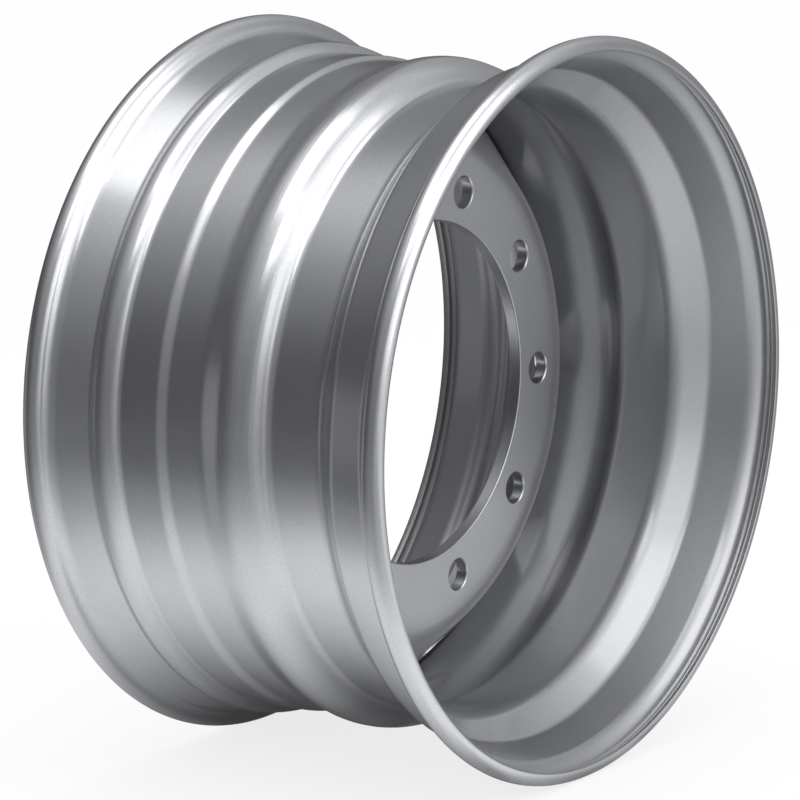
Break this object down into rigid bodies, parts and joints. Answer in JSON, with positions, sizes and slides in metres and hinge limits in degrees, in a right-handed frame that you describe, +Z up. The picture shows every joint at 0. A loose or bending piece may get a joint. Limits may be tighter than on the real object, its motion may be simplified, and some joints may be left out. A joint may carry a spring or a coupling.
{
  "type": "steel disc wheel",
  "caption": "Silver-painted steel wheel with a wide drop-centre rim, rolled flanges and a welded pressed disc with a centre bore, stud holes and hand holes.",
  "frame": {"origin": "wheel centre: on the axle line, at the rim's middle plane", "axes": "+Y along the axle towards the hub side, -Y is the nut side that the picture shows, +Z up"},
  "size_m": [0.5968, 0.342, 0.5968],
  "materials": {
    "silver_paint": "semi-gloss silver paint"
  },
  "bodies": {
    "root": {"rim": "silver_paint", "wheel_disc": "silver_paint", "weld_bead": "silver_paint"}
  },
  "joints": []
}
